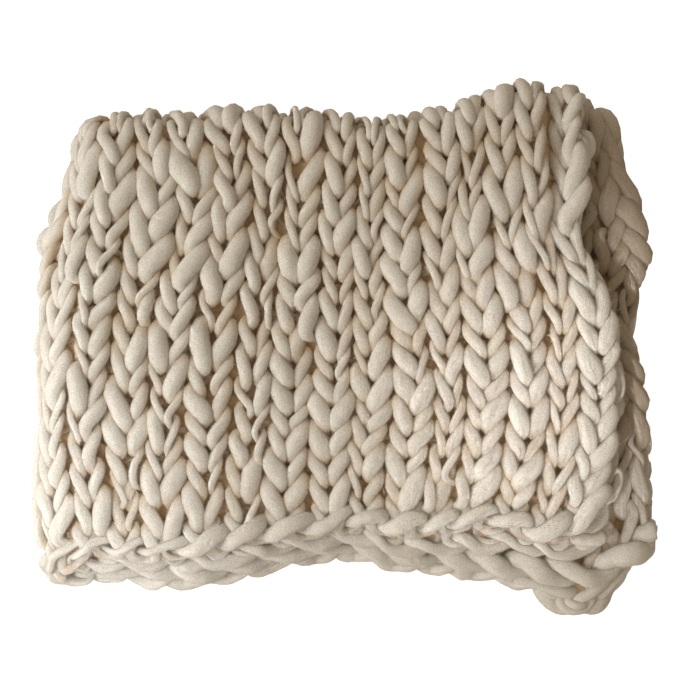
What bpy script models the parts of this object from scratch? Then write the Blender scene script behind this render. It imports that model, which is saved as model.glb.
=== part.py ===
"""A chunky hand-knit baby blanket, folded in quarters and lying on a flat surface.

The blanket is one knitted sheet. It is folded first across its rows, at the far
side, and then side to side, at the left. That makes four layers joined by folds:

    top     knit side up, the layer on show
    second  joined to the top layer at the far fold
    third   joined to the second and top layers at the left fold
    bottom  joined to the third layer at the far fold, lying on the surface

The sheet is laid out by an exact folding rule, and then pushed sideways and up or
down by gentle warps that give its uneven edges, the pleat at the far right and the
soft swells. Each warp moves points along one axis only and keeps their order, so
the layers never cross. Everything is in millimetres here, and turned into metres
when the mesh is made. +X is to the right, +Y is to the far side, +Z is up.
"""

import math

import bmesh
import bpy
import numpy as np

MM = 0.001

THICKNESS = 11.0        # one layer of the knit, front to back
LAYER_GAP = 1.5         # air between two layers
EDGE_ROUND = 5.0        # how far back from its rim the sheet starts to thin
CORNER = 6.0            # how far each way a rim's outline is rounded off
CORNER_RADIUS = 18.0    # the free corner of each layer, at the near right
RIM_ZONE = 66.0         # width of the strip behind the right rim that has closer stations
RIM_STEPS = 8           # stations across that strip
FOLD_X = -138.0         # where the left fold starts to turn
TOP_PAIR_X = 150.0      # right-hand rim of the two upper layers, before warping
LOW_PAIR_X = 166.0      # right-hand rim of the two lower layers, before warping
NEAR_Y = -110.0         # near rim of every layer, before warping
FAR_Y = 128.0           # outside of the far folds, before warping

STEPS_ACROSS = 24       # stations across each flat run, right to left
STEPS_LEFT_FOLD = 8     # stations round the left fold
STEPS_ALONG = 16        # stations along each flat run, near to far
STEPS_FAR_FOLD = 6      # stations round a far fold

HALF = THICKNESS / 2
FAR_RADIUS = HALF + LAYER_GAP / 2             # middle of the sheet round a far fold
PAIR_HALF = THICKNESS + LAYER_GAP / 2         # half the height of two folded layers
LEFT_RADIUS = PAIR_HALF + LAYER_GAP / 2       # middle of the pair round the left fold
LOW_PAIR_Z = PAIR_HALF
MID_Z = 2 * PAIR_HALF + LAYER_GAP / 2
TOP_PAIR_Z = 3 * PAIR_HALF + LAYER_GAP

# Height of the middle of each layer, bottom first, to blend the tables below.
LAYER_Z = (
    HALF,
    HALF + THICKNESS + LAYER_GAP,
    HALF + 2 * (THICKNESS + LAYER_GAP),
    HALF + 3 * (THICKNESS + LAYER_GAP),
)

# Near rim of each layer. Columns: x, then y of the bottom, third, second, top layer.
NEAR_RIM = (
    (-152, -128, -125, -122, -119),
    (-131, -129, -125, -121, -113),
    (-103, -130, -125, -118, -109),
    (-76, -131, -127, -121, -112),
    (-49, -124, -120, -115, -105),
    (-22, -118, -115, -109, -100),
    (5, -115, -111, -104, -95),
    (32, -121, -118, -113, -103),
    (59, -123, -118, -111, -97),
    (86, -128, -123, -108, -93),
    (106, -131, -126, -113, -102),
    (117, -144, -128, -115, -102),
    (130, -150, -130, -113, -92),
    (141, -147, -128, -110, -85),
    (152, -126, -122, -104, -79),
    (168, -112, -110, -96, -74),
)

# Right rim of each layer. Columns: y, then x of the bottom, third, second, top layer.
RIGHT_RIM = (
    (138, 143, 143, 140, 138),
    (107, 153, 153, 140, 137),
    (88, 160, 161, 139, 136),
    (69, 165, 166, 133, 129),
    (58, 166, 166, 131, 126),
    (47, 165, 166, 134, 131),
    (31, 162, 161, 141, 138),
    (9, 159, 159, 147, 145),
    (-29, 163, 164, 150, 149),
    (-56, 170, 167, 150, 149),
    (-75, 168, 165, 149, 147),
    (-88, 170, 172, 145, 140),
    (-105, 169, 170, 143, 138),
    (-124, 160, 162, 143, 138),
)

# Left fold. Columns: y, x of its lower half, x of its upper half.
LEFT_FOLD = (
    (137, -143, -142),
    (99, -149, -147),
    (72, -159, -149),
    (58, -167, -151),
    (31, -166, -157),
    (17, -163, -158),
    (4, -168, -160),
    (-37, -165, -162),
    (-77, -169, -165),
    (-110, -160, -158),
    (-126, -154, -152),
)

# Far folds. Columns: x, y of the lower fold, y of the upper fold.
FAR_FOLD = (
    (-152, 119, 118),
    (-131, 126, 126),
    (-103, 127, 127),
    (-85, 126, 125),
    (-57, 127, 128),
    (-11, 127, 129),
    (16, 124, 122),
    (48, 127, 127),
    (73, 131, 134),
    (102, 137, 144),
    (116, 138, 138),
    (127, 137, 141),
    (140, 132, 135),
    (154, 108, 119),
    (165, 89, 100),
)

# Soft swells and hollows of the whole stack.
# Columns: x, y, reach along x, reach along y, share by which the height changes.
SWELLS = (
    (-146, 52, 24, 34, 0.06),
    (-150, -20, 22, 30, 0.04),
    (-148, -118, 30, 40, -0.12),
    (-84, 66, 26, 34, 0.04),
    (-70, -60, 34, 40, 0.04),
    (-20, 10, 30, 46, -0.03),
    (10, 95, 50, 26, 0.04),
    (56, 30, 34, 40, 0.04),
    (84, -52, 30, 30, 0.05),
    (30, -70, 26, 26, -0.03),
    (50, -108, 120, 22, -0.10),
    (116, 104, 7, 34, -0.26),
    (131, 92, 11, 26, 0.06),
    (128, 44, 12, 14, -0.10),
    (140, -2, 12, 16, 0.05),
    (152, -10, 18, 90, -0.07),
    (152, -100, 30, 30, -0.10),
    (152, 112, 22, 26, -0.08),
)

WOOL_CREAM = (0.80, 0.735, 0.635, 1.0)


def smooth(t):
    """Rise from 0 to 1 with level ends."""
    t = np.clip(t, 0.0, 1.0)
    return t * t * (3.0 - 2.0 * t)


def layer_weights(z):
    """Share of each layer in the tables at height z, level through each layer."""
    steps = [smooth((z - (a + b) / 2) / (2 * LAYER_GAP) + 0.5)
             for a, b in zip(LAYER_Z, LAYER_Z[1:])]
    low, middle, high = steps
    return (1 - low, low - middle, middle - high, high)


def read_column(table, along, column):
    """Value of one column of a table along its first column, its corners rounded off."""
    table = np.array(sorted(table), float)
    nearby = (-1.0, -0.5, 0.0, 0.5, 1.0)
    return sum(np.interp(along + CORNER * step, table[:, 0], table[:, column])
               for step in nearby) / len(nearby)


def read_rim(table, along, z):
    """Value of a four-layer table at a place along the rim and a height."""
    return sum(weight * read_column(table, along, 1 + k)
               for k, weight in enumerate(layer_weights(z)))


def read_pair(table, along, share):
    """Value of a two-column table, share 0 for its first column and 1 for its second."""
    return (1 - share) * read_column(table, along, 1) + share * read_column(table, along, 2)


def warp(points):
    """Give the ideal fold its uneven edges and swells, one axis at a time."""
    x, y, z = points[:, 0], points[:, 1], points[:, 2]

    # each free corner, square to round
    upper = z > MID_Z
    from_rim = CORNER_RADIUS - (np.where(upper, TOP_PAIR_X, LOW_PAIR_X) - x)
    from_near = CORNER_RADIUS - (y - NEAR_Y)
    across = np.clip(from_rim, 0, CORNER_RADIUS) / CORNER_RADIUS
    along = np.clip(from_near, 0, CORNER_RADIUS) / CORNER_RADIUS
    x = x - CORNER_RADIUS * across * (1 - np.sqrt(1 - along ** 2 / 2))
    y = y + CORNER_RADIUS * along * (1 - np.sqrt(1 - across ** 2 / 2))

    # right rim and left fold, along x
    upper = smooth((z - MID_Z) / (2 * LAYER_GAP) + 0.5)
    ideal_rim = LOW_PAIR_X + (TOP_PAIR_X - LOW_PAIR_X) * upper
    right = read_rim(RIGHT_RIM, y, z) - ideal_rim
    right *= smooth((x - 50.0) / (ideal_rim - 50.0))
    share = smooth((z - 10.0) / 28.0)
    left = read_pair(LEFT_FOLD, y, share) - (FOLD_X - LEFT_RADIUS - PAIR_HALF)
    left *= smooth((-30.0 - x) / 120.0)
    x = x + right + left

    # near rim and far folds, along y
    near = read_rim(NEAR_RIM, x, z) - NEAR_Y
    near *= smooth((20.0 - y) / (20.0 - NEAR_Y))
    far = read_pair(FAR_FOLD, x, upper) - FAR_Y
    far *= smooth((y - 20.0) / (FAR_Y - 20.0))
    y = y + near + far

    # swells, along z, with the surface the blanket lies on left flat
    change = np.zeros_like(x)
    for at_x, at_y, reach_x, reach_y, share in SWELLS:
        change += share * np.exp(-((x - at_x) / reach_x) ** 2 - ((y - at_y) / reach_y) ** 2)
    return np.stack([x, y, z * (1.0 + change)], axis=1)


def run_stations(length, steps, zone=0.0, zone_steps=0):
    """Distances along a flat run from its rim, closer together where it thins and across the zone."""
    found = [1.4, EDGE_ROUND]
    for k in range(zone_steps):
        found.append(EDGE_ROUND + (zone - EDGE_ROUND) * (k + 1) / zone_steps)
    start, left = found[-1], steps - len(found)
    for k in range(left):
        found.append(start + (length - start) * (k + 1) / left)
    return found


def along_stations():
    """(y, height from the pair's middle, which way is out) down the sheet's middle, and its thinning."""
    centre = FAR_Y - PAIR_HALF
    found = []
    run = run_stations(centre - NEAR_Y, STEPS_ALONG)
    for distance in run:
        found.append((NEAR_Y + distance, FAR_RADIUS, (0.0, 1.0), distance))
    for k in range(1, STEPS_FAR_FOLD):
        turn = math.pi * k / STEPS_FAR_FOLD
        out = (math.sin(turn), math.cos(turn))
        found.append((centre + FAR_RADIUS * out[0], FAR_RADIUS * out[1], out, 1e9))
    for distance in reversed(run):
        found.append((NEAR_Y + distance, -FAR_RADIUS, (0.0, -1.0), distance))
    return found


def across_stations():
    """(x, z, which way is out) of the pair's middle, from the upper right rim round to the lower one."""
    found = []
    for distance in run_stations(TOP_PAIR_X - FOLD_X, STEPS_ACROSS, RIM_ZONE, RIM_STEPS):
        found.append((TOP_PAIR_X - distance, TOP_PAIR_Z, (0.0, 1.0), distance))
    for k in range(1, STEPS_LEFT_FOLD):
        turn = math.pi * k / STEPS_LEFT_FOLD
        out = (-math.sin(turn), math.cos(turn))
        found.append((FOLD_X + LEFT_RADIUS * out[0], MID_Z + LEFT_RADIUS * out[1], out, 1e9))
    for distance in reversed(run_stations(LOW_PAIR_X - FOLD_X, STEPS_ACROSS, RIM_ZONE, RIM_STEPS)):
        found.append((LOW_PAIR_X - distance, LOW_PAIR_Z, (0.0, -1.0), distance))
    return found


def fold_point(across, along, offset):
    """Where a point of the sheet lies, offset from the sheet's middle towards the knit side."""
    y = along[0] + along[2][0] * offset
    height = along[1] + along[2][1] * offset
    return (across[0] + across[2][0] * height, y, across[1] + across[2][1] * height)


def thinning(distance):
    """Share of the full thickness left at this distance from a rim."""
    if distance >= EDGE_ROUND:
        return 1.0
    return math.sqrt(1.0 - (1.0 - distance / EDGE_ROUND) ** 2)


def make_blanket():
    across, along = across_stations(), along_stations()
    columns, rows = len(across), len(along)
    points, index = [], {}

    def add(key, point):
        index[key] = len(points)
        points.append(point)

    for i, a in enumerate(across):
        for j, b in enumerate(along):
            half = HALF * min(thinning(a[3]), thinning(b[3]))
            for side in (1, -1):
                add((i, j, side), fold_point(a, b, side * half))

    def rim_key(i, j):
        return ("rim", i, j)

    def rim_across(i):
        a = across[i]
        return ((TOP_PAIR_X if i == 0 else LOW_PAIR_X), a[1], a[2], 0.0)

    def rim_along(j):
        return (NEAR_Y, along[j][1], along[j][2], 0.0)

    for i in range(columns):
        for j in range(rows):
            if i in (0, columns - 1) or j in (0, rows - 1):
                a = rim_across(i) if i in (0, columns - 1) else across[i]
                b = rim_along(j) if j in (0, rows - 1) else along[j]
                add(rim_key(i, j), fold_point(a, b, 0.0))

    faces = []
    for i in range(columns - 1):
        for j in range(rows - 1):
            for side in (1, -1):
                ring = [index[(i, j, side)], index[(i + 1, j, side)],
                        index[(i + 1, j + 1, side)], index[(i, j + 1, side)]]
                faces.append(ring if side == 1 else ring[::-1])

    border = ([(i, 0) for i in range(columns)]
              + [(columns - 1, j) for j in range(1, rows)]
              + [(i, rows - 1) for i in range(columns - 2, -1, -1)]
              + [(0, j) for j in range(rows - 2, 0, -1)])
    for here, there in zip(border, border[1:] + border[:1]):
        for side in (1, -1):
            ring = [index[(*here, side)], index[rim_key(*here)],
                    index[rim_key(*there)], index[(*there, side)]]
            faces.append(ring if side == 1 else ring[::-1])

    placed = warp(np.array(points, float))
    low, high = placed.min(axis=0), placed.max(axis=0)
    placed -= np.array([(low[0] + high[0]) / 2, (low[1] + high[1]) / 2, low[2]])

    mesh = bpy.data.meshes.new("blanket")
    mesh.from_pydata([tuple(p) for p in placed * MM], [], faces)
    mesh.update()
    shape = bmesh.new()
    shape.from_mesh(mesh)
    bmesh.ops.recalc_face_normals(shape, faces=shape.faces)
    bmesh.ops.triangulate(shape, faces=shape.faces)
    shape.to_mesh(mesh)
    shape.free()
    mesh.shade_smooth()
    return mesh


def wool():
    material = bpy.data.materials.new("cream_wool")
    material.use_nodes = True
    shader = material.node_tree.nodes["Principled BSDF"]
    shader.inputs["Base Color"].default_value = WOOL_CREAM
    shader.inputs["Roughness"].default_value = 0.95
    shader.inputs["Metallic"].default_value = 0.0
    return material


for leftover in list(bpy.data.objects):
    bpy.data.objects.remove(leftover, do_unlink=True)

blanket = bpy.data.objects.new("blanket", make_blanket())
blanket.data.materials.append(wool())
bpy.context.scene.collection.objects.link(blanket)
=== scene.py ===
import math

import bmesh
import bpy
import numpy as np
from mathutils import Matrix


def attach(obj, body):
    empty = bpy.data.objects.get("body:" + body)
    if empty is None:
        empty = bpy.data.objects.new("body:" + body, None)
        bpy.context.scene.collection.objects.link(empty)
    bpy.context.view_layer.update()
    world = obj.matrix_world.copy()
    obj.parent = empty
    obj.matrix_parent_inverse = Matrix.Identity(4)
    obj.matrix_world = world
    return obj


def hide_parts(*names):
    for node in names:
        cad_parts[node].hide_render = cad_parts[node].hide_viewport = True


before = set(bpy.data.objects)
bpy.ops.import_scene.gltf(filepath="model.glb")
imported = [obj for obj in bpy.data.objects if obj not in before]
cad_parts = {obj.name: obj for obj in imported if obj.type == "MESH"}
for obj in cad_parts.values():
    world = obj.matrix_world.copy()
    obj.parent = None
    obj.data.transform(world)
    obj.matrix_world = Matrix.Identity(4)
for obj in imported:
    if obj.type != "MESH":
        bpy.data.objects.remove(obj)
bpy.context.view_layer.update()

# A chunky hand-knit baby blanket, folded in quarters. Every stitch is a real loop of
# thick-and-thin yarn: the courses are laid along the folded sheet that the CAD model
# describes, pushed apart where they would pass through each other, and drawn as soft
# tubes. A thin felted web in the middle of the cloth is the sheet itself; its tan-brown
# is painted shade for the gaps between the stitches. Loose fibres stand on the yarn.

MM = 0.001
SEED = 7

# ---------------------------------------------------------------- the folded sheet
# All sizes in millimetres, in the CAD model's own frame before it is recentred.
HALF = 5.5
LAYER_GAP = 1.5
CORNER = 6.0
CORNER_RADIUS = 18.0
FOLD_X = -138.0
TOP_PAIR_X = 150.0
LOW_PAIR_X = 166.0
NEAR_Y = -110.0
FAR_Y = 128.0
FAR_RADIUS = HALF + LAYER_GAP / 2
PAIR_HALF = 2 * HALF + LAYER_GAP / 2
LEFT_RADIUS = PAIR_HALF + LAYER_GAP / 2
LOW_PAIR_Z = PAIR_HALF
MID_Z = 2 * PAIR_HALF + LAYER_GAP / 2
TOP_PAIR_Z = 3 * PAIR_HALF + LAYER_GAP
LAYER_Z = (5.5, 18.0, 30.5, 43.0)
CENTRE_SHIFT = np.array([2.258784926, -3.077729556, 0.0])

ACROSS_TOP = TOP_PAIR_X - FOLD_X
ACROSS_TURN = math.pi * LEFT_RADIUS
ACROSS_LOW = LOW_PAIR_X - FOLD_X
ACROSS = ACROSS_TOP + ACROSS_TURN + ACROSS_LOW
ALONG_RUN = FAR_Y - PAIR_HALF - NEAR_Y
ALONG_TURN = math.pi * FAR_RADIUS
ALONG = 2 * ALONG_RUN + ALONG_TURN

# Near rim. Columns: x, then y of the bottom, third, second, top layer.
NEAR_RIM = (
    (-152, -128, -125, -122, -119), (-131, -129, -125, -121, -113),
    (-103, -130, -125, -118, -109), (-76, -131, -127, -121, -112),
    (-49, -124, -120, -115, -105), (-22, -118, -115, -109, -100),
    (5, -115, -111, -104, -95), (32, -121, -118, -113, -103),
    (59, -123, -118, -111, -97), (86, -128, -123, -108, -93),
    (106, -131, -126, -113, -102), (117, -144, -128, -115, -102),
    (130, -150, -130, -113, -92), (141, -147, -128, -110, -85),
    (152, -126, -122, -104, -79), (168, -112, -110, -96, -74),
)
# Right rim. Columns: y, then x of the bottom, third, second, top layer.
RIGHT_RIM = (
    (138, 143, 143, 140, 138), (107, 153, 153, 140, 137), (88, 160, 161, 139, 136),
    (69, 165, 166, 133, 129), (58, 166, 166, 131, 126), (47, 165, 166, 134, 131),
    (31, 162, 161, 141, 138), (9, 159, 159, 147, 145), (-29, 163, 164, 150, 149),
    (-56, 170, 167, 150, 149), (-75, 168, 165, 149, 147), (-88, 170, 172, 145, 140),
    (-105, 169, 170, 143, 138), (-124, 160, 162, 143, 138),
)
# Left fold. Columns: y, x of the lower half, x of the upper half.
LEFT_FOLD = (
    (137, -143, -142), (99, -149, -147), (72, -159, -149), (58, -167, -151),
    (31, -166, -157), (17, -163, -158), (4, -168, -160), (-37, -165, -162),
    (-77, -169, -165), (-110, -160, -158), (-126, -154, -152),
)
# Far folds. Columns: x, y of the lower fold, y of the upper fold.
FAR_FOLD = (
    (-152, 119, 118), (-131, 126, 126), (-103, 127, 127), (-85, 126, 125),
    (-57, 127, 128), (-11, 127, 129), (16, 124, 122), (48, 127, 127),
    (73, 131, 134), (102, 137, 144), (116, 138, 138), (127, 137, 141),
    (140, 132, 135), (154, 108, 119), (165, 89, 100),
)
# Swells. Columns: x, y, reach along x, reach along y, share of the height.
SWELLS = (
    (-146, 52, 24, 34, 0.06), (-150, -20, 22, 30, 0.04), (-148, -118, 30, 40, -0.12),
    (-84, 66, 26, 34, 0.04), (-70, -60, 34, 40, 0.04), (-20, 10, 30, 46, -0.03),
    (10, 95, 50, 26, 0.04), (56, 30, 34, 40, 0.04), (84, -52, 30, 30, 0.05),
    (30, -70, 26, 26, -0.03), (50, -108, 120, 22, -0.10), (116, 104, 7, 34, -0.26),
    (131, 92, 11, 26, 0.06), (128, 44, 12, 14, -0.10), (140, -2, 12, 16, 0.05),
    (152, -10, 18, 90, -0.07), (152, -100, 30, 30, -0.10), (152, 112, 22, 26, -0.08),
)


def smooth(t):
    t = np.clip(t, 0.0, 1.0)
    return t * t * (3.0 - 2.0 * t)


def read_column(table, along, column):
    table = np.array(sorted(table), float)
    return sum(np.interp(along + CORNER * step, table[:, 0], table[:, column])
               for step in (-1.0, -0.5, 0.0, 0.5, 1.0)) / 5


def layer_weights(z):
    low, middle, high = [smooth((z - (a + b) / 2) / (2 * LAYER_GAP) + 0.5)
                         for a, b in zip(LAYER_Z, LAYER_Z[1:])]
    return (1 - low, low - middle, middle - high, high)


def read_rim(table, along, z):
    return sum(w * read_column(table, along, 1 + k) for k, w in enumerate(layer_weights(z)))


def read_pair(table, along, share):
    return (1 - share) * read_column(table, along, 1) + share * read_column(table, along, 2)


def warp(points):
    """Uneven edges and swells of the folded sheet."""
    x, y, z = points[:, 0], points[:, 1], points[:, 2]
    upper = z > MID_Z
    across = np.clip(CORNER_RADIUS - (np.where(upper, TOP_PAIR_X, LOW_PAIR_X) - x), 0, CORNER_RADIUS) / CORNER_RADIUS
    along = np.clip(CORNER_RADIUS - (y - NEAR_Y), 0, CORNER_RADIUS) / CORNER_RADIUS
    x = x - CORNER_RADIUS * across * (1 - np.sqrt(1 - along ** 2 / 2))
    y = y + CORNER_RADIUS * along * (1 - np.sqrt(1 - across ** 2 / 2))
    upper = smooth((z - MID_Z) / (2 * LAYER_GAP) + 0.5)
    ideal_rim = LOW_PAIR_X + (TOP_PAIR_X - LOW_PAIR_X) * upper
    right = (read_rim(RIGHT_RIM, y, z) - ideal_rim) * smooth((x - 50.0) / (ideal_rim - 50.0))
    left = read_pair(LEFT_FOLD, y, smooth((z - 10.0) / 28.0)) - (FOLD_X - LEFT_RADIUS - PAIR_HALF)
    x = x + right + left * smooth((-30.0 - x) / 120.0)
    near = (read_rim(NEAR_RIM, x, z) - NEAR_Y) * smooth((20.0 - y) / (20.0 - NEAR_Y))
    far = (read_pair(FAR_FOLD, x, upper) - FAR_Y) * smooth((y - 20.0) / (FAR_Y - 20.0))
    y = y + near + far
    change = np.zeros_like(x)
    for at_x, at_y, reach_x, reach_y, share in SWELLS:
        change += share * np.exp(-((x - at_x) / reach_x) ** 2 - ((y - at_y) / reach_y) ** 2)
    return np.stack([x, y, z * (1.0 + change)], axis=1)


def folded(u, v, off):
    """Ideal fold: u from the upper right rim round to the lower one, v from one near rim to the other, off towards the knit side."""
    centre = FAR_Y - PAIR_HALF
    turn = np.clip((v - ALONG_RUN) / FAR_RADIUS, 0.0, math.pi)
    out_y, out_h = np.sin(turn), np.cos(turn)
    y = np.where(v < ALONG_RUN, NEAR_Y + v, np.where(v > ALONG_RUN + ALONG_TURN, centre - (v - ALONG_RUN - ALONG_TURN), centre))
    y = y + out_y * (FAR_RADIUS + off)
    height = out_h * (FAR_RADIUS + off)
    turn = np.clip((u - ACROSS_TOP) / LEFT_RADIUS, 0.0, math.pi)
    out_x, out_z = -np.sin(turn), np.cos(turn)
    x = np.where(u < ACROSS_TOP, TOP_PAIR_X - u, np.where(u > ACROSS_TOP + ACROSS_TURN, FOLD_X + (u - ACROSS_TOP - ACROSS_TURN), FOLD_X))
    return np.stack([x + out_x * (LEFT_RADIUS + height), y, MID_Z + out_z * (LEFT_RADIUS + height)], axis=1)


def on_sheet(u, v, off):
    """Points of the warped sheet, still in the frame before recentring. Far from the middle the warp is read at the layer's skin, and the rest is added along the normal."""
    near = np.clip(off, -4.0, 4.0)
    base = warp(folded(u, v, near))
    n = sheet_normal(u, v)
    return base + n * (off - near)[:, None]


def sheet_normal(u, v):
    n = warp(folded(u, v, np.full_like(u, 4.0))) - warp(folded(u, v, np.full_like(u, -4.0)))
    return n / np.linalg.norm(n, axis=1, keepdims=True)


# ---------------------------------------------------------------- the knit's gauge
ROWS = 31                      # rows from one near rim to the other, the two edge ropes among them
WALES = 33                     # columns of stitches from the upper right rim to the lower right rim
PITCH = ALONG / ROWS
TOP_WALES = 15                 # columns on the layer on show, the last one on the start of the left fold

# Middle of each column of stitches on the layer on show, which draws together and apart.
# Columns: y, then x of the 15 columns, left to right.
COLUMN_X = (
    (123, -138, -118, -104, -86, -63, -42, -22, -1, 16, 31, 50, 71, 84, 100, 120),
    (105, -139, -117, -100, -82, -57, -39, -19, 1, 18, 33, 57, 69, 86, 102, 121),
    (83, -139, -122, -97, -76, -58, -39, -21, 1, 16, 32, 56, 69, 88, 104, 124),
    (72, -140, -123, -99, -76, -59, -38, -21, -1, 15, 31, 54, 68, 88, 101, 115),
    (62, -142, -125, -101, -77, -60, -38, -22, -2, 15, 31, 53, 69, 89, 102, 115),
    (50, -145, -127, -105, -82, -62, -40, -23, -2, 15, 33, 54, 70, 93, 109, 122),
    (36, -148, -129, -108, -86, -63, -42, -23, -1, 16, 35, 54, 70, 95, 114, 130),
    (12, -152, -134, -108, -88, -65, -42, -27, -2, 16, 37, 56, 77, 100, 120, 135),
    (-10, -155, -134, -112, -93, -69, -46, -27, -3, 16, 39, 56, 78, 101, 118, 137),
    (-31, -156, -135, -112, -93, -69, -46, -25, -5, 17, 39, 60, 76, 100, 118, 138),
    (-55, -155, -137, -114, -95, -70, -48, -30, -6, 12, 36, 56, 74, 97, 116, 135),
    (-81, -155, -133, -115, -96, -72, -52, -30, -5, 12, 34, 51, 69, 91, 111, 130),
)
# How far each column's stitches ride up (+) or down (-), in rows, at rows 1, 4, 7, 10 and 13.
RIDE_ROWS = (1, 4, 7, 10, 13)
RIDE = (
    (-0.02, -0.12, -0.16, -0.11, -0.07), (0.20, 0.28, 0.17, 0.10, 0.05),
    (-0.11, -0.17, 0.01, 0.00, 0.17), (-0.14, -0.19, -0.22, -0.18, -0.02),
    (0.12, -0.04, -0.10, 0.11, 0.19), (0.09, 0.05, 0.14, 0.22, 0.22),
    (0.07, 0.01, -0.07, -0.17, -0.11), (-0.12, 0.03, -0.04, -0.09, -0.13),
    (0.13, 0.10, 0.10, 0.03, -0.04), (0.20, 0.16, 0.26, 0.23, 0.22),
    (0.04, 0.01, 0.03, 0.08, 0.16), (-0.04, 0.02, -0.05, -0.10, 0.07),
    (-0.07, -0.01, 0.03, 0.01, -0.01), (-0.05, -0.03, -0.04, -0.04, -0.02),
    (-0.14, 0.00, 0.14, 0.21, 0.23),
)
# The legs of the layer on show, column by column from left to right: first the left legs of
# its stitches, then the right ones, each from row 0 at the near rim up to row 14. A leg is a
# letter, T thin, M medium, F fat, L fat and long, . one that lies deeper; then how far it lies
# to the right, 4 none, in steps of 1 mm; how far up, 4 none, in steps of 1.3 mm; and how far it leans, from 0 hardly to 8 most.
CHART = (
    (".442 .442 .442 .442 .442 .442 .442 .442 .442 .442 .442 .442 .442 .442 .442",
     ".442 F858 .642 .632 .532 T610 L612 .532 .542 M542 M842 T821 T811 L660 .442"),
    (".442 .442 .442 .442 T270 F480 T572 M462 T450 M340 .432 .432 M400 M530 M134",
     ".442 F750 .552 M372 M374 M462 M562 F440 M435 F643 T424 M624 L664 .442 .442"),
    (".442 .442 T530 M421 F221 L414 F360 .352 M342 .342 M320 L520 L560 .442 .442",
     ".442 T561 .542 T623 F841 M740 .532 F400 M571 T634 L838 F770 .562 F470 .442"),
    (".442 M533 F360 T441 .442 T530 T232 F230 .332 M300 .432 M540 M340 L563 .442",
     ".442 F720 F772 .542 T510 T322 F420 M342 M233 .332 L316 .432 .532 L840 .442"),
    (".442 L571 .462 F382 .342 F226 M120 L222 T374 L381 .362 M360 M564 .442 .442",
     ".442 .442 T580 .552 M634 M642 .532 F422 .432 M532 F530 F572 M872 T760 .442"),
    (".442 M440 .442 .442 .432 T422 M430 .442 M361 M370 .452 M630 T550 .442 .442",
     ".442 T502 L340 .442 T636 M530 M550 .442 T430 T512 F400 T770 T450 F660 .442"),
    (".442 F340 F363 .452 .442 F332 F241 .342 M340 .432 F410 T321 .322 T201 .442",
     ".442 F653 .552 F562 .542 M632 .542 F452 F530 M444 F640 .532 M502 L633 F780"),
    (".442 .442 M442 F341 F261 .452 .442 F540 M453 .442 .432 M420 M541 M620 .442",
     ".442 F620 .532 .542 F763 .552 T553 .542 .542 .542 M630 F542 .442 .442 .442"),
    (".442 T280 .362 .362 .362 F360 T351 .352 .342 .342 M240 .442 T540 T430 .442",
     ".442 .442 F350 .442 .532 L622 F560 .462 T472 .462 .452 T561 .442 .442 .442"),
    (".442 .442 F451 .442 F440 F551 F450 .432 F303 F363 F271 .462 .452 F550 .442",
     ".442 L560 .562 M678 .542 F612 T720 .542 F560 .442 F420 .442 L552 .442 .442"),
    (".442 .442 .442 .442 .442 M732 T372 .362 .462 T370 .462 .462 F570 .442 .442",
     ".442 L250 T353 .542 T732 .542 M443 .442 .432 F520 .542 T553 T572 .442 .442"),
    (".442 .442 .442 .442 .442 .442 F335 M343 F343 .342 T020 F310 T300 .442 .442",
     ".442 L457 F732 .542 L566 .552 F662 .542 F531 .442 F234 F330 T211 T402 .442"),
    (".442 .442 M440 .442 F431 .542 F560 T563 F524 F331 F323 T501 F203 .442 .442",
     ".442 .442 L428 .542 F740 F580 .462 .452 .452 F540 F660 T631 L620 .442 .442"),
    (".442 .442 .442 .442 T560 .452 .442 T231 .342 .442 T453 T322 .442 .442 .442",
     ".442 .442 T432 F540 .552 T560 .552 .552 .542 .542 .642 F730 T560 .442 .442"),
    (".442 .442 .442 F350 .342 T342 L154 .352 F472 .552 M842 .552 M571 .442 .442",
     ".442 F538 F632 F660 .552 .552 .552 F653 M842 .652 .652 F766 F550 M260 .442"),
)
# Thickness of the edge rope of the layer on show, column by column, left to right.
ROPE_CHART = "TTTTFFFMMFMMMFF"
LEG_RADIUS = {"T": 2.2, "M": 3.8, "F": 5.1, "L": 5.5}
LEG_SHAPE = {"T": 0.8, "M": 0.9, "F": 1.1, "L": 0.7}
LEG_HEIGHT = {"T": 0.97, "M": 1.0, "F": 1.04, "L": 1.16}

rng = np.random.default_rng(SEED)


def column_positions():
    """u of every column's middle at stations along v, so that the layer on show has its columns where COLUMN_X says."""
    table = np.array(sorted(COLUMN_X), float)
    stations = np.linspace(0.0, ALONG, 95)
    found = np.zeros((len(stations), WALES))
    probe = np.linspace(0.0, 322.0, 600)
    regular = (np.arange(WALES) + 0.5) * ACROSS / WALES
    for i, v in enumerate(stations):
        here = warp(folded(probe, np.full_like(probe, min(v, 236.0)), np.full_like(probe, 3.0)))
        top = np.zeros(WALES)
        for m in range(TOP_WALES):
            column = TOP_WALES - m
            wanted = sum(np.interp(here[:, 1] + d, table[:, 0], table[:, column]) for d in (-9, 0, 9)) / 3
            below = np.nonzero(here[:, 0] < wanted)[0]
            top[m] = probe[below[0]] if len(below) else 302.0
            if m == TOP_WALES - 1:
                top[m] = min(top[m], 301.0)
        top[15], top[16] = top[14] + 14.0, top[14] + 28.0
        start = max(top[16] + 15.0, ACROSS_TOP + ACROSS_TURN + 7.0)
        top[17:] = np.linspace(start, ACROSS - 10.0, WALES - 17)
        share = smooth((v - 240.0) / 120.0)
        found[i] = (1 - share) * top + share * regular
    kernel = np.array([1, 2, 3, 2, 1]) / 9
    padded = np.pad(found, ((2, 2), (0, 0)), mode="edge")
    return stations, np.stack([np.convolve(padded[:, m], kernel, "valid") for m in range(WALES)], axis=1)


STATIONS, COLUMN_U = column_positions()


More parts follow.
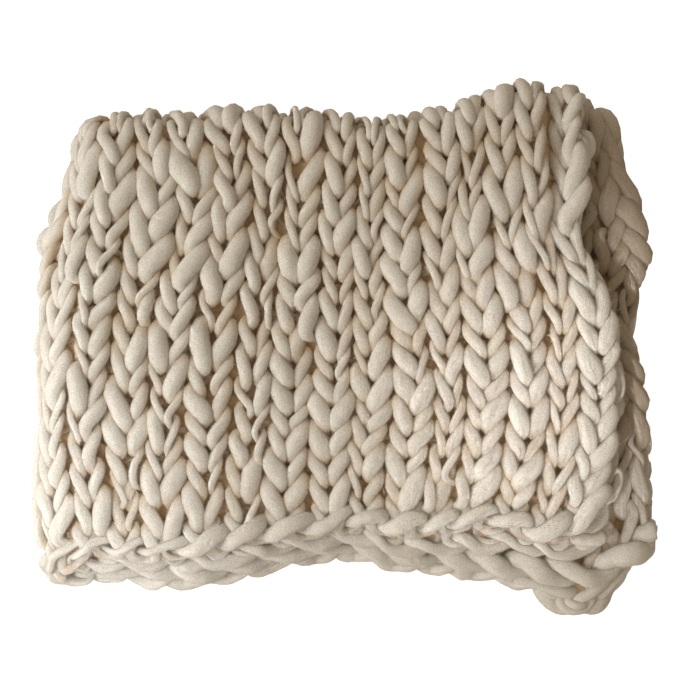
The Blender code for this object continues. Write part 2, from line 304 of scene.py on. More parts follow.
def gauge(a, b):
    """(u, v) of a place given in columns and rows: column m's middle is a = m + 0.5, and row j's is b = j + 0.5."""
    ride_table = np.zeros((WALES + 2, ROWS))
    rows = np.arange(ROWS)
    for k, line in enumerate(RIDE):
        ride_table[TOP_WALES - 1 - k + 1] = np.interp(rows, RIDE_ROWS, line) * smooth((19 - rows) / 4)
    ride_table[0] = ride_table[1]
    ride_table[16] = ride_table[15] * 0.5
    aa = np.clip(a + 0.5, 0, WALES + 0.999)
    bb = np.clip(b - 0.5, 0, ROWS - 1.001)
    i, j = aa.astype(int), bb.astype(int)
    fa, fb = aa - i, bb - j
    i2, j2 = np.minimum(i + 1, WALES + 1), np.minimum(j + 1, ROWS - 1)
    ride = ((ride_table[i, j] * (1 - fa) + ride_table[i2, j] * fa) * (1 - fb)
            + (ride_table[i, j2] * (1 - fa) + ride_table[i2, j2] * fa) * fb)
    v = PITCH * (b + ride)
    # across: linear between column middles, and on past the first and last
    s = np.clip(v / ALONG * (len(STATIONS) - 1), 0, len(STATIONS) - 1.001)
    si = s.astype(int)
    fs = (s - si)[:, None]
    line = COLUMN_U[si] * (1 - fs) + COLUMN_U[si + 1] * fs
    left_end = np.clip(line[:, :1] - 9.8, -2.5, 6.0)
    right_end = line[:, -1:] + 9.5
    line = np.concatenate([left_end, line, right_end], axis=1)      # a = 0, 0.5 ... 32.5, 33
    knots = np.concatenate([[0.0], np.arange(WALES) + 0.5, [WALES]])
    at = np.clip(np.searchsorted(knots, a, side="right") - 1, 0, len(knots) - 2)
    lower, upper = knots[at], knots[at + 1]
    f = (a - lower) / (upper - lower)
    index = np.arange(len(a))
    return line[index, at] * (1 - f) + line[index, at + 1] * f, v


# ---------------------------------------------------------------- yarn paths
STEPS = 14                     # points a stitch, seven to a leg
FRONT = 2.7                    # how far the legs lie in front of the middle
BACK = 2.9                     # how far the heads and feet lie behind it
# One leg of a loop, from its foot to its head. It comes from behind the leg below, bends
# out to the front near the column's middle, leans outwards as it rises, and tucks in
# behind the lower end of the leg above. Columns: distance from the column's middle in
# columns; height above the row's start in rows; depth, 0 front to 1 back; girth, 0 hidden
# yarn to 1 leg.
LEG = (
    (0.50, -0.38, 1.00, 0.00),
    (0.34, -0.36, 0.74, 0.12),
    (0.15, -0.22, 0.18, 0.54),
    (0.11, 0.10, -0.10, 0.94),
    (0.19, 0.46, -0.04, 1.00),
    (0.28, 0.82, 0.12, 0.80),
    (0.29, 1.16, 0.48, 0.46),
    (0.00, 1.35, 1.00, 0.10),
)


def wander(count, period, rng):
    """Smooth noise about 0, with bumps about period points long."""
    knots = max(4, int(count / period) + 3)
    values = rng.normal(size=knots)
    at = np.linspace(0, knots - 1.001, count)
    i = at.astype(int)
    f = smooth(at - i)
    return values[i] * (1 - f) + values[np.minimum(i + 1, knots - 1)] * f


def leg_shapes():
    """For both legs of every stitch, [row, column, leg]: radius, power of its swelling, shift across in columns, shift up in rows, lean in columns, height as a share of the usual, and how much deeper it lies in mm."""
    grid = (ROWS, WALES, 2)
    radius = np.zeros(grid)
    power = np.full(grid, 0.9)
    across = 0.035 * rng.normal(size=grid)
    up = 0.10 * rng.normal(size=grid)
    lean = np.clip(0.20 + 0.08 * rng.normal(size=grid), 0.03, 0.45)
    tall = 1 + 0.07 * rng.normal(size=grid)
    deeper = np.clip(0.5 * rng.normal(size=grid), -0.8, 0.8)
    for j in range(ROWS):
        # thick-and-thin yarn: fat slubs one to three legs long with thin stretches between
        line = 3.7 + 1.35 * wander(2 * WALES, 2.2, rng) + 0.5 * rng.normal(size=2 * WALES)
        radius[j] = np.clip(line, 1.9, 5.6).reshape(WALES, 2)
    for k, words in enumerate(CHART):
        m = TOP_WALES - 1 - k
        for leg, word in ((1, words[0]), (0, words[1])):
            for j, (letter, *digits) in enumerate(word.split()):
                right, higher, slant = (int(d) for d in digits)
                across[j, m, leg] = -0.038 * (right - 4)
                up[j, m, leg] = 0.085 * (higher - 4)
                lean[j, m, leg] = 0.034 * min(slant, 6) + 0.12
                if letter == ".":
                    radius[j, m, leg] = np.clip(3.4 + 0.6 * rng.normal(), 2.2, 4.6)
                    deeper[j, m, leg] = 0.7
                else:
                    radius[j, m, leg] = LEG_RADIUS[letter] * (1 + 0.05 * rng.normal())
                    power[j, m, leg] = LEG_SHAPE[letter]
                    tall[j, m, leg] = LEG_HEIGHT[letter]
    # round the left fold the yarn is fat
    radius[:16, 15:18] = np.maximum(radius[:16, 15:18], 4.3)
    # the first and last rows are short and lie behind the edge ropes, on the lower layers nearly out of sight
    for j, way, shown in ((0, 1, TOP_WALES + 1), (ROWS - 1, -1, 0)):
        tall[j] *= 0.75
        up[j] = 0.3 * up[j] + 0.12 * way
        up[j, shown:] += 0.35 * way
        deeper[j] = 1.6
        radius[j, shown:] = np.minimum(0.8 * radius[j, shown:], 3.4)
        deeper[j, shown:] = 3.2
    return radius, power, across, up, lean, tall, deeper


LEG_R, LEG_P, LEG_ACROSS, LEG_UP, LEG_LEAN, LEG_TALL, LEG_DEEPER = leg_shapes()


def course(j, backwards):
    """One row of loops: a, b, offset and radius of its points."""
    count = WALES * STEPS
    step = np.arange(count + 1)
    m = np.minimum(step // STEPS, WALES - 1)
    local = step - STEPS * m
    half = STEPS // 2
    table = np.array(LEG)
    rising = local <= half
    x, rise, deep, girth = table[np.where(rising, local, STEPS - local)].T
    leg = (local > half).astype(int)
    legs = LEG_R[j, m, leg]
    # every leg has its own place, lean and height, and heads and feet follow the legs
    hold = np.clip(1.2 * girth, 0, 1)

    def of_leg(grid):
        between = np.interp(step / half - 0.5, np.arange(2 * WALES), grid[j].reshape(-1))
        return hold * grid[j, m, leg] + (1 - hold) * between

    side = np.where(rising, -1, 1)
    leaning = 0.21 + (x - 0.21) * LEG_LEAN[j, m, leg] / 0.175
    x = np.where((local % half > 1) & (local % half < half - 0), hold * leaning + (1 - hold) * x, x)
    a = m + 0.5 + side * x + hold * LEG_ACROSS[j, m, leg] + 0.03 * wander(count + 1, 8, rng)
    a = np.clip(a, 0.13, WALES - 0.13)
    b = j + 0.45 + (rise - 0.45) * of_leg(LEG_TALL) + of_leg(LEG_UP) + 0.04 * wander(count + 1, 8, rng)
    # thin yarn is overtwisted and kinks
    kink = smooth((3.0 - legs) / 1.0)
    a += 0.055 * kink * wander(count + 1, 2.2, rng)
    b += 0.05 * kink * wander(count + 1, 2.2, rng)
    # thin legs are pulled tight over their neighbours, and fat ones sink in
    front = FRONT + 0.5 * (4.2 - legs) - LEG_DEEPER[j, m, leg]
    off = front - (front + BACK) * deep + 0.4 * wander(count + 1, 7, rng)
    # heads and feet take the size of the yarn on both sides of them
    ends = np.interp(step / half - 0.5, np.arange(2 * WALES), LEG_R[j].reshape(-1))
    ends = np.clip(0.62 * ends, 1.6, 3.0)
    radius = ends + (legs - ends) * girth ** LEG_P[j, m, leg]
    radius *= 1 + 0.07 * wander(count + 1, 3, rng)
    path = np.stack([a, b, off, radius], axis=1)
    return path[::-1] if backwards else path


def turn(before, after, way):
    """The yarn's bend at a side rim, from the end of one course to the start of the next."""
    t = np.linspace(0, 1, 7)[1:-1][:, None]
    bend = before + (after - before) * np.concatenate([t, (1 - np.cos(math.pi * t)) / 2, t, t], axis=1)
    bend[:, 0] += way * 0.15 * np.sin(math.pi * t[:, 0])
    bend[:, 3] = 2.6
    return bend


def ropes():
    """The two edges, where stitches were cast on and bound off: two strands wound round each other, one stroke a stitch."""
    found = []
    for edge, middle in enumerate((0.42, ROWS - 0.42)):
        count = int((WALES + 0.3) * 11)
        a = np.linspace(-0.12, WALES + 0.12, count)
        sizes = np.clip(5.5 + 0.7 * rng.normal(size=WALES + 1), 4.2, 6.4)
        # on the layer on show the strokes are a stitch long, and on the others longer
        twist = np.where((a < TOP_WALES + 0.5) & (edge == 0), 1.0, 0.82)
        wound = math.pi * np.cumsum(twist) * (a[1] - a[0])
        if edge == 0:
            # fat round the left fold, and fattest in the corner that lies lowest
            sizes[15:17] = 4.8
            sizes[WALES - 2:] = 5.6
            for k, letter in enumerate(ROPE_CHART):
                sizes[TOP_WALES - 1 - k] = {"T": 2.5, "M": 3.7, "F": 4.9}[letter]
        for strand in range(2):
            angle = wound + math.pi * (strand - 0.12) + 0.25 * wander(count, 30, rng)
            sign = 1 if edge == 0 else -1
            b = middle + sign * (3.6 / PITCH) * np.cos(angle)
            if edge == 0:
                b += 0.3 * smooth((a - WALES + 3) / 2)
            off = 3.9 * np.sin(angle) + 1.2
            # the stroke in front of column m belongs to the strand that is outside there
            here = np.interp(a, np.arange(WALES + 1) + 0.5, sizes)
            radius = here * (0.80 + 0.22 * np.sin(angle)) * (1 + 0.06 * wander(count, 5, rng))
            found.append(np.stack([a, b, off, radius], axis=1))
    return found


def strands():
    """Every strand as (points a, b, offset, radius)."""
    found = []
    balls = ((0, 7), (8, 15), (16, 21), (22, 27), (28, ROWS - 1))
    for first, last in balls:
        parts = []
        backwards = False
        for j in range(first, last + 1):
            row = course(j, backwards)
            if parts:
                parts.append(turn(parts[-1][-1], row[0], 1 if backwards else -1))
            parts.append(row)
            backwards = not backwards
        found.append(np.concatenate(parts))
    return found + ropes()


def place(path):
    u, v = gauge(path[:, 0], path[:, 1])
    # side rims curl a little towards the purl side
    rim = np.minimum(path[:, 0], WALES - path[:, 0])
    off = path[:, 2] - 2.4 * smooth((0.55 - rim) / 0.8)
    # round the tight inside of the left fold the yarn is pressed flat
    inner = smooth((v - ALONG_RUN) / ALONG_TURN)
    turning = smooth((u - ACROSS_TOP + 8) / 10) * smooth((ACROSS_TOP + ACROSS_TURN + 8 - u) / 10)
    off = off * (1 - 0.55 * inner * turning)
    outside = smooth((u - ACROSS_TOP + 6) / 14) * smooth((ACROSS_TOP + ACROSS_TURN + 6 - u) / 14)
    outside = np.maximum(outside * (1 - inner), smooth((v - ALONG_RUN + 6) / 10) * smooth((ALONG_RUN + ALONG_TURN + 6 - v) / 10) * (1 - turning))
    return on_sheet(u, v, off), sheet_normal(u, v), inner * turning, off, outside


# ---------------------------------------------------------------- settling
FLAT = 0.80                    # height of a strand's section, as a share of its width
SQUEEZE = 0.84                 # how close strands press together, as a share of touching


def neighbours(points, reach, strand, order):
    """Pairs of points closer than reach that aren't next to each other along a strand."""
    cell = np.floor((points - points.min(axis=0)) / reach).astype(np.int64)
    size = cell.max(axis=0) + 3
    key = (cell[:, 0] + 1) + size[0] * ((cell[:, 1] + 1) + size[1] * (cell[:, 2] + 1))
    by_key = np.argsort(key, kind="stable")
    sorted_key = key[by_key]
    pairs = []
    for dx in (-1, 0, 1):
        for dy in (-1, 0, 1):
            for dz in (-1, 0, 1):
                step = dx + size[0] * (dy + size[1] * dz)
                if step < 0:
                    continue
                low = np.searchsorted(sorted_key, key + step, side="left")
                high = np.searchsorted(sorted_key, key + step, side="right")
                many = high - low
                i = np.repeat(np.arange(len(points)), many)
                start = np.repeat(low, many)
                within = np.arange(len(i)) - np.repeat(np.cumsum(many) - many, many)
                j = by_key[start + within]
                keep = i < j if step == 0 else np.ones(len(i), bool)
                i, j = i[keep], j[keep]
                d = points[i] - points[j]
                close = (d * d).sum(axis=1) < reach * reach
                apart = (strand[i] != strand[j]) | (np.abs(order[i] - order[j]) > 8)
                pairs.append(np.stack([i[close & apart], j[close & apart]]))
    return np.concatenate(pairs, axis=1)


def settle(points, normals, radius, strand, order, rounds):
    """Push strands out of each other and keep them near where they were laid."""
    start = points.copy()
    count = len(points)
    first = np.ones(count, bool)
    first[1:] = strand[1:] != strand[:-1]
    last = np.roll(first, -1)
    for turn_number in range(rounds):
        if turn_number % 6 == 0:
            pairs = neighbours(points, 12.5, strand, order)
            i, j = pairs
            n = normals[i] + normals[j]
            length = np.linalg.norm(n, axis=1, keepdims=True)
            n = np.where(length > 0.3, n / np.maximum(length, 1e-6), normals[i])
            touch = SQUEEZE * (radius[i] + radius[j])
        d = points[i] - points[j]
        dn = (d * n).sum(axis=1)
        flat = d - dn[:, None] * n
        metric = np.sqrt((flat * flat).sum(axis=1) + (dn / FLAT) ** 2) + 1e-6
        overlap = touch - metric
        hit = overlap > 0
        hi, hj = i[hit], j[hit]
        g = (flat[hit] + n[hit] * (dn[hit] / FLAT ** 2)[:, None]) / metric[hit][:, None]
        push = g * (0.5 * overlap[hit] / np.maximum((g * g).sum(axis=1), 0.2))[:, None]
        move = np.zeros_like(points)
        for axis in range(3):
            move[:, axis] += np.bincount(hi, push[:, axis], count)
            move[:, axis] -= np.bincount(hj, push[:, axis], count)
        touches = np.bincount(hi, minlength=count) + np.bincount(hj, minlength=count)
        points = points + 0.9 * move / np.maximum(touches, 2.2)[:, None]
        # along the strand the moves are evened out
        shift = points - start
        for _ in range(2):
            before, after = np.roll(shift, 1, axis=0), np.roll(shift, -1, axis=0)
            before[first], after[last] = shift[first], shift[last]
            shift = 0.6 * shift + 0.2 * (before + after)
        shift *= 0.985
        points = start + shift
        points[:, 2] = np.maximum(points[:, 2], radius * FLAT + 0.15)
    return points


def finer(strand_values, factor):
    """Each strand's values at factor times as many places, on a Catmull-Rom curve."""
    found = []
    for part in strand_values:
        padded = np.concatenate([2 * part[:1] - part[1:2], part, 2 * part[-1:] - part[-2:-1]])
        p0, p1, p2, p3 = padded[:-3], padded[1:-2], padded[2:-1], padded[3:]
        pieces = []
        for k in range(factor):
            t = k / factor
            pieces.append(0.5 * (2 * p1 + (p2 - p0) * t + (2 * p0 - 5 * p1 + 4 * p2 - p3) * t ** 2
                                 + (3 * p1 - p0 - 3 * p2 + p3) * t ** 3))
        woven = np.stack(pieces, axis=1).reshape(-1, part.shape[1])
        found.append(np.concatenate([woven, part[-1:]]))
    return found


def tube(points, normals, radius, sides):
    """Rings of a closed tube along the points, flatter along the sheet's normal. Returns vertices, each ring's place
    along the strand, and each vertex's rise along the sheet's normal.
    """
    count = len(points)
    tangent = np.gradient(points, axis=0)
    tangent /= np.linalg.norm(tangent, axis=1, keepdims=True)
    up = normals - (normals * tangent).sum(axis=1, keepdims=True) * tangent
    size = np.linalg.norm(up, axis=1, keepdims=True)
    up = up / np.maximum(size, 1e-6)
    # where the strand runs along the normal, carry the direction on from its neighbours
    for _ in range(3):
        blend = up + np.roll(up, 1, axis=0) + np.roll(up, -1, axis=0)
        blend -= (blend * tangent).sum(axis=1, keepdims=True) * tangent
        up = blend / np.maximum(np.linalg.norm(blend, axis=1, keepdims=True), 1e-6)
    side = np.cross(tangent, up)
    along = np.concatenate([[0.0], np.cumsum(np.linalg.norm(np.diff(points, axis=0), axis=1))])
    angle = np.arange(sides) * 2 * math.pi / sides
    ring = np.cos(angle)[None, :, None] * side[:, None, :] + (FLAT + 0.04) * np.sin(angle)[None, :, None] * up[:, None, :]
    # the twist leaves soft, uneven ridges that wind round the strand
    wound = angle[None, :] + along[:, None] / 9.0
    ridges = 0.045 * np.sin(2 * wound + 2.2 * wander(count, 9, rng)[:, None]) + 0.04 * np.sin(3 * wound + 2.6 * wander(count, 7, rng)[:, None])
    ring = ring * (1 + ridges * (0.5 + 0.5 * smooth((radius - 2.0) / 2.5))[:, None])[:, :, None]
    vertices = points[:, None, :] + radius[:, None, None] * ring
    rise = radius[:, None] * (ring * normals[:, None, :]).sum(axis=2)
    return vertices.reshape(-1, 3), along, rise


# lay every strand
paths = strands()
paths = finer(paths, 2)
for path in paths:
    path[:, 3] = np.maximum(path[:, 3], 1.3)
sizes = [len(p) for p in paths]
joined = np.concatenate(paths)
strand = np.repeat(np.arange(len(paths)), sizes)
order = np.concatenate([np.arange(s) for s in sizes])
laid, normals, pressed, offsets, outside = place(joined)
radius = joined[:, 3] * (1 - 0.45 * pressed)
settled = settle(laid, normals, radius, strand, order, 60)


def split(values):
    return np.split(values, np.cumsum(sizes)[:-1])


fine_points = split(settled)
fine_normals = split(normals)
fine_radius = split(radius[:, None])
fine_offset = split((offsets + ((settled - laid) * normals).sum(axis=1))[:, None])
# how near a side rim or an edge each place is, 1 at it and 0 from a stitch away; there, and on the outside of the
# folds, the painted shade is lifted
from_rim = np.minimum(np.minimum(joined[:, 0], WALES - joined[:, 0]), np.minimum(joined[:, 1], ROWS - joined[:, 1]))
open_rim = np.maximum(smooth(1.2 - from_rim) * np.where(joined[:, 0] < WALES / 2, 1.0, 0.7), 0.6 * outside)
# painted shadow: the last columns of the lower half lie under the upper one's edge and are darkened as if in its shadow
painted_shadow_strip = smooth((joined[:, 0] - WALES + 4.5) / 2) * smooth((np.minimum(joined[:, 1], ROWS - joined[:, 1]) - 2.0) / 3.0)
fine_rim = split(open_rim[:, None])
# of the two lower layers, only the one on top is seen from above there, and only it gets the painted shadow
fine_painted_shadow = split((painted_shadow_strip * smooth((joined[:, 1] - ROWS / 2) / 2 + 0.5))[:, None])


def mesh_object(name, vertices, faces, uv=None, smooth_shade=True):
    mesh = bpy.data.meshes.new(name)
    vertices = (vertices - 0) * MM
    mesh.vertices.add(len(vertices))
    mesh.vertices.foreach_set("co", vertices.astype(np.float32).reshape(-1))
    corners = np.concatenate([np.asarray(f).reshape(-1) for f in faces])
    totals = np.concatenate([np.full(len(f), np.asarray(f).shape[1]) for f in faces])
    starts = np.concatenate([[0], np.cumsum(totals)[:-1]])
    mesh.loops.add(len(corners))
    mesh.loops.foreach_set("vertex_index", corners.astype(np.int32))
    mesh.polygons.add(len(totals))
    mesh.polygons.foreach_set("loop_start", starts.astype(np.int32))
    mesh.polygons.foreach_set("loop_total", totals.astype(np.int32))
    mesh.polygons.foreach_set("use_smooth", np.full(len(totals), smooth_shade))
    mesh.update(calc_edges=True)
    if uv is not None:
        layer = mesh.uv_layers.new(name="Yarn")
        layer.data.foreach_set("uv", uv.astype(np.float32).reshape(-1))
    mesh.validate()
    obj = bpy.data.objects.new(name, mesh)
    bpy.context.scene.collection.objects.link(obj)
    return obj


SIDES = 11


def yarn_piece(name, numbers, sides=SIDES):
    vertices, quads, caps, uvs, painted_shade_depth, painted_shadow_list = [], [], [], [], [], []
    base = 0
    cap_uvs = []
    for number in numbers:
        p, n, r = fine_points[number], fine_normals[number], fine_radius[number][:, 0].copy()
        # the ends taper
        ends = np.minimum(np.arange(len(r)), np.arange(len(r))[::-1])
        r *= np.clip(0.35 + ends / 5.0, 0, 1)
        ring, along, rise = tube(p - CENTRE_SHIFT, n, r, sides)
        ring[:, 2] = np.maximum(ring[:, 2], 0.02)
        # an edge rope lies open all round, and the rims nearly so, so they are spared most of the painted shade
        rim = 3.5 * fine_rim[number] if number < 5 else 5.0
        painted_shade_depth.append(np.maximum(np.abs(fine_offset[number] + rise) + rim, 0.0).reshape(-1))
        # painted shadow, strongest on the sides of the strands that face out of the cloth
        painted_shadow_list.append((fine_painted_shadow[number] * smooth(0.6 + rise / np.maximum(r, 0.5)[:, None])).reshape(-1))
        count = len(p)
        i = np.arange(count - 1)[:, None] * sides
        k = np.arange(sides)[None, :]
        k2 = (k + 1) % sides
        quad = np.stack([i + k, i + k2, i + sides + k2, i + sides + k], axis=2).reshape(-1, 4)
        quads.append(quad + base)
        # round the strand from 0 to 1, and along it in hundredths of a metre
        round_low = np.broadcast_to(k / sides, (count - 1, sides))
        round_high = round_low + 1 / sides
        a0 = np.broadcast_to(along[:-1, None] / 100, (count - 1, sides))
        a1 = np.broadcast_to(along[1:, None] / 100, (count - 1, sides))
        uv = np.stack([np.stack([round_low, a0], 2), np.stack([round_high, a0], 2),
                       np.stack([round_high, a1], 2), np.stack([round_low, a1], 2)], axis=2)
        uvs.append(uv.reshape(-1, 2))
        for end, flip in ((0, True), (count - 1, False)):
            ids = base + end * sides + np.arange(sides)
            caps.append(ids[::-1] if flip else ids)
            cap_uvs.append(np.tile([0.0, along[end] / 100], (sides, 1)))
        vertices.append(ring)
        base += len(ring)
    faces = [np.concatenate(quads), np.array(caps)]
    obj = mesh_object(name, np.concatenate(vertices), faces, np.concatenate(uvs + cap_uvs))
    # how far from the cloth's middle each vertex stands, in millimetres, and more at the rims and edge ropes; the
    # material paints shade where this is small
    front = obj.data.attributes.new("front", "FLOAT", "POINT")
    front.data.foreach_set("value", np.concatenate(painted_shade_depth).astype(np.float32))
    # painted shadow: 1 in the columns that lie under the upper half's edge, on the sides of the strands that face out
    # of the cloth
    painted_shadow = obj.data.attributes.new("painted_shadow", "FLOAT", "POINT")
    painted_shadow.data.foreach_set("value", np.concatenate(painted_shadow_list).astype(np.float32))
    return obj


yarns = [yarn_piece("yarn_first_ball", [0]), yarn_piece("yarn_second_ball", [1]), yarn_piece("yarn_third_ball", [2], 9),
         yarn_piece("yarn_fourth_ball", [3], 9), yarn_piece("yarn_fifth_ball", [4]), yarn_piece("yarn_edges", [5, 6, 7, 8])]


# ---------------------------------------------------------------- the web
def web():
    """A thin felted web of fibres just behind the middle of the cloth, tan-brown as painted shade for the gaps between
    the stitches. It is the sheet.
    """
    across = np.linspace(11.0, ACROSS - 8.0, 110)
    along = np.linspace(7.0, ALONG - 7.0, 84)
    u, v = np.meshgrid(across, along, indexing="ij")
    u, v = u.reshape(-1), v.reshape(-1)
    inner = smooth((v - ALONG_RUN) / ALONG_TURN)
    turning = smooth((u - ACROSS_TOP + 8) / 10) * smooth((ACROSS_TOP + ACROSS_TURN + 8 - u) / 10)
    middle = -2.6 + 1.6 * inner * turning
    upper = on_sheet(u, v, middle + 0.7) - CENTRE_SHIFT
    lower = on_sheet(u, v, middle - 0.7) - CENTRE_SHIFT
    na, nb = len(across), len(along)
    index = np.arange(na * nb).reshape(na, nb)
    quad = np.stack([index[:-1, :-1], index[1:, :-1], index[1:, 1:], index[:-1, 1:]], axis=2).reshape(-1, 4)
    total = na * nb
    ring = np.concatenate([index[:-1, 0], index[-1, :-1], index[1:, -1][::-1], index[0, 1:][::-1]])
    after = np.roll(ring, -1)
    side = np.stack([after, ring, ring + total, after + total], axis=1)
    vertices = np.concatenate([upper, lower])
    faces = np.concatenate([quad, quad[:, ::-1] + total, side])
    obj = mesh_object("web", vertices, [faces])
    fix = bmesh.new()
    fix.from_mesh(obj.data)
    bmesh.ops.recalc_face_normals(fix, faces=fix.faces)
    fix.to_mesh(obj.data)
    fix.free()
    return obj


cloth = web()


# ---------------------------------------------------------------- loose fibres
TOP_OF_FIBRES = 61.0


def fibres(name, count, seed, reach, lift, thick, curled=False):
    """Fine fibres that stand off the yarn: each is a thin closed spike with three sides, rooted in a strand and lying along it."""
    draw = np.random.default_rng(seed)
    p = np.concatenate([q - CENTRE_SHIFT for q in fine_points])
    n = np.concatenate(fine_normals)
    r = np.concatenate(fine_radius)[:, 0]
    tangent = np.concatenate([np.gradient(q, axis=0) for q in fine_points])
    tangent /= np.linalg.norm(tangent, axis=1, keepdims=True)
    # most of them on yarn that shows
    front = np.concatenate(fine_offset)[:, 0]
    weight = r * np.where(front > 0.0, 1.0, 0.08)
    weight *= np.where(p[:, 2] > 34, 4.0, 1.0)
    pick = draw.choice(len(p), size=count, p=weight / weight.sum())
    p, n, r, tangent = p[pick], n[pick], r[pick], tangent[pick]
    p = p + tangent * draw.uniform(-1.2, 1.2, count)[:, None]
    side = np.cross(tangent, n)
    side /= np.maximum(np.linalg.norm(side, axis=1, keepdims=True), 1e-6)
    up = np.cross(side, tangent)
    # most of them on the strand's flanks
    angle = np.where(draw.random(count) < 0.5, 0.0, math.pi) + draw.normal(0, 0.45, count)
    angle = np.where(draw.random(count) < 0.3, draw.uniform(0.0, math.pi, count), angle)
    out = np.cos(angle)[:, None] * side + np.sin(angle)[:, None] * up
    root = p + out * (r / np.sqrt(np.cos(angle) ** 2 + (np.sin(angle) / (FLAT + 0.04)) ** 2) - 0.12)[:, None]
    way = np.where(draw.random(count) < 0.5, -1.0, 1.0)
    length = reach * np.minimum(draw.gamma(3.0, 1 / 3.0, count), 1.9)
    turn_side = np.cross(tangent, out)
    heading = tangent * (way * draw.uniform(0.4, 1.0, count))[:, None] + out * (lift * draw.uniform(0.3, 1.2, count))[:, None] \
        + turn_side * draw.normal(0, 0.5, count)[:, None]
    heading /= np.linalg.norm(heading, axis=1, keepdims=True)
    x = np.cross(heading, np.where(np.abs(heading[:, 2:3]) < 0.8, [[0, 0, 1.0]], [[1.0, 0, 0]]))
    x /= np.linalg.norm(x, axis=1, keepdims=True)
    y = np.cross(heading, x)
    bend = draw.normal(0, 0.5, (count, 3)) - 0.35 * out
    shares = (0.0, 0.5, 1.0) if curled else (0.0, 1.0)
    places = [root + heading * (length * share)[:, None] + bend * (length * share ** 2 * 0.5 * curled)[:, None] for share in shares]
    rings = []
    for place_now, width in zip(places[:-1], (1.0, 0.8)):
        for k in range(3):
            c = 2 * math.pi * k / 3
            rings.append(place_now + thick * width * (math.cos(c) * x + math.sin(c) * y))
    rings.append(places[-1])
    vertices = np.stack(rings, axis=1)
    tip = len(rings) - 1
    vertices[:, :, 2] = np.clip(vertices[:, :, 2], 0.05 + 0.02 * np.arange(tip + 1)[None, :], TOP_OF_FIBRES - 0.03 * np.arange(tip + 1)[None, :])
    triangles = [(2, 1, 0)]
    for k in range(3):
        a, b = k, (k + 1) % 3
        if curled:
            triangles += [(a, b, b + 3), (a, b + 3, a + 3)]
        triangles.append((a + tip - 3, b + tip - 3, tip))
    base = np.arange(count)[:, None] * (tip + 1)
    faces = (base[:, None, :] + np.array(triangles)[None, :, :]).reshape(-1, 3)
    return mesh_object(name, vertices.reshape(-1, 3), [faces])


fuzz = [fibres("fibres_close", 22000, 11, 3.4, 0.22, 0.12), fibres("fibres_lifted", 34000, 13, 2.6, 0.8, 0.13),
        fibres("fibres_long", 5500, 12, 6.0, 0.6, 0.09, curled=True)]


